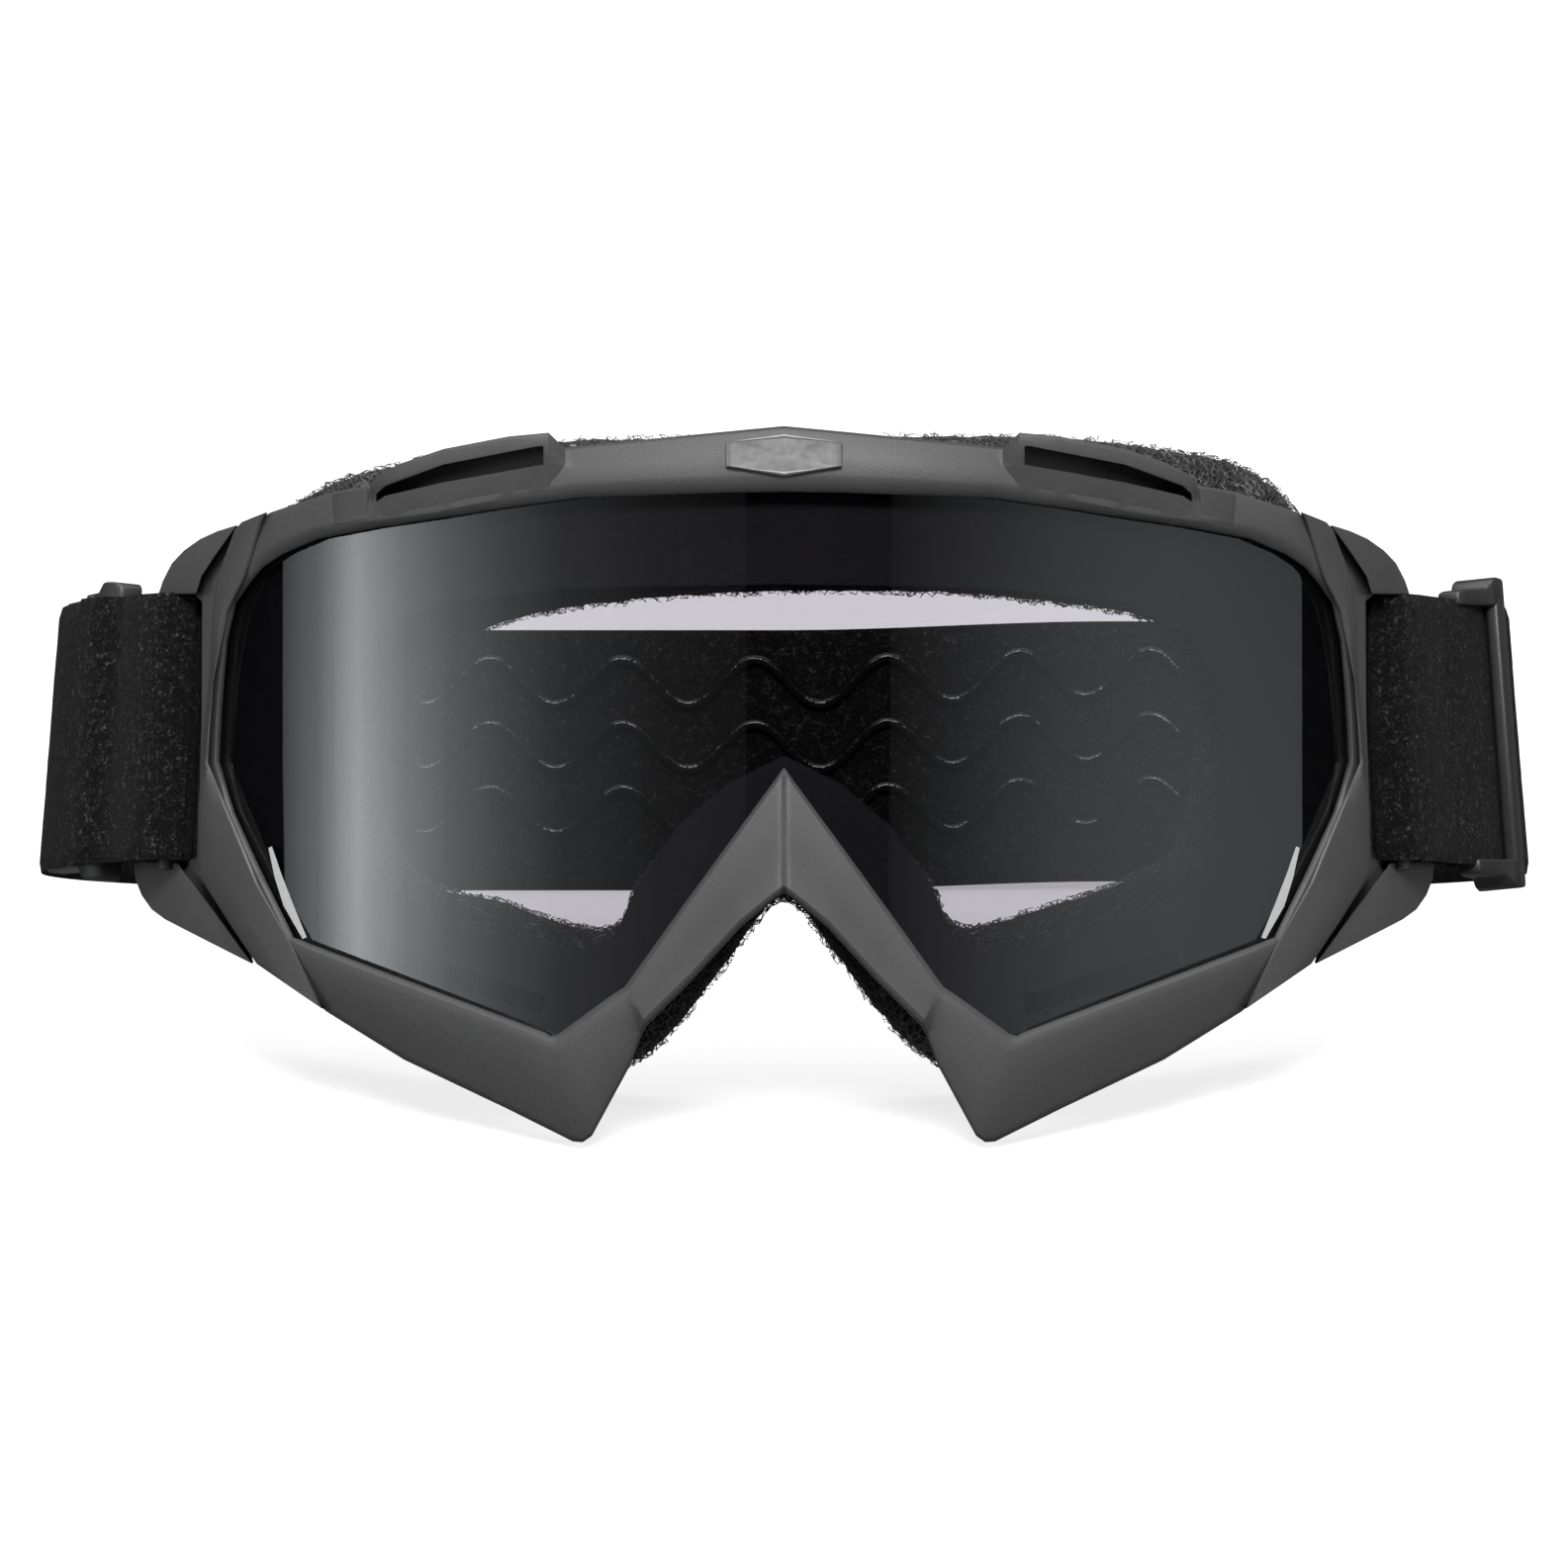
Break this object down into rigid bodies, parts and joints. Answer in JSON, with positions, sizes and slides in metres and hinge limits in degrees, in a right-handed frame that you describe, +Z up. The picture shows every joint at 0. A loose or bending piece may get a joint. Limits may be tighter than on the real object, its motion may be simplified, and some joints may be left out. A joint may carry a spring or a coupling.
{
  "type": "motocross goggles",
  "caption": "Motocross goggles: angular black frame with a smoke lens, face foam, scoop vents and an elastic head strap with adjusters and silicone grip beads.",
  "frame": {"origin": "bottom centre of the bounding box, on the surface that the goggles stand on", "axes": "+X to the right of someone looking at the lens, across the goggles' width; +Y from the lens to the back of the strap; +Z up. The goggles lean back on their two lower tips and the rear strap's lower edge."},
  "size_m": [0.2162, 0.16, 0.0998],
  "materials": {
    "frame_plastic": "matte spark-textured black injection-moulded plastic",
    "ear_plastic": "matte spark-textured black injection-moulded plastic",
    "inner_frame_rubber": "soft black thermoplastic rubber, satin",
    "smoke_lens": "glossy neutral smoke polycarbonate",
    "badge_silver": "satin silver with a bright bevelled rim, no lettering",
    "open_cell_foam": "black reticulated open-cell foam",
    "face_fleece": "black brushed fleece bonded to the face foam",
    "strap_elastic": "black plush woven elastic webbing",
    "seam_thread": "black polyester thread",
    "grip_silicone": "glossy clear-over-black silicone bead",
    "slider_plastic": "semi-gloss black moulded plastic"
  },
  "bodies": {
    "frame": {"front_frame": "frame_plastic", "inner_frame": "inner_frame_rubber", "lens": "smoke_lens", "badge": "badge_silver", "left_ear": "ear_plastic", "right_ear": "ear_plastic", "upper_vent_foam_left": "open_cell_foam", "upper_vent_foam_right": "open_cell_foam", "lower_vent_foam_left": "open_cell_foam", "lower_vent_foam_right": "open_cell_foam", "face_foam": "open_cell_foam", "face_fleece": "face_fleece"},
    "strap": {"strap_band": "strap_elastic", "left_loop_seam": "seam_thread", "right_loop_seam": "seam_thread", "grip_wave_top": "grip_silicone", "grip_wave_middle": "grip_silicone", "grip_wave_bottom": "grip_silicone"},
    "left_slider": {"left_slider": "slider_plastic", "left_strap_tail": "strap_elastic"},
    "right_slider": {"right_slider": "slider_plastic", "right_strap_tail": "strap_elastic"}
  },
  "joints": [
    {"name": "strap_tilt", "type": "hinge", "parent": "frame", "child": "strap", "pos_m": [0, -0.02013, 0.04696], "axis": [1, 0, 0], "range_deg": [-3, 3]},
    {"name": "left_slider_travel", "type": "hinge", "parent": "strap", "child": "left_slider", "pos_m": [-0.04735, 0.01984, 0.03505], "axis": [0, -0.2857, -0.9583], "range_deg": [0, 45]},
    {"name": "right_slider_travel", "type": "hinge", "parent": "strap", "child": "right_slider", "pos_m": [0.04665, 0.01984, 0.03505], "axis": [0, 0.2857, 0.9583], "range_deg": [0, 45]}
  ]
}
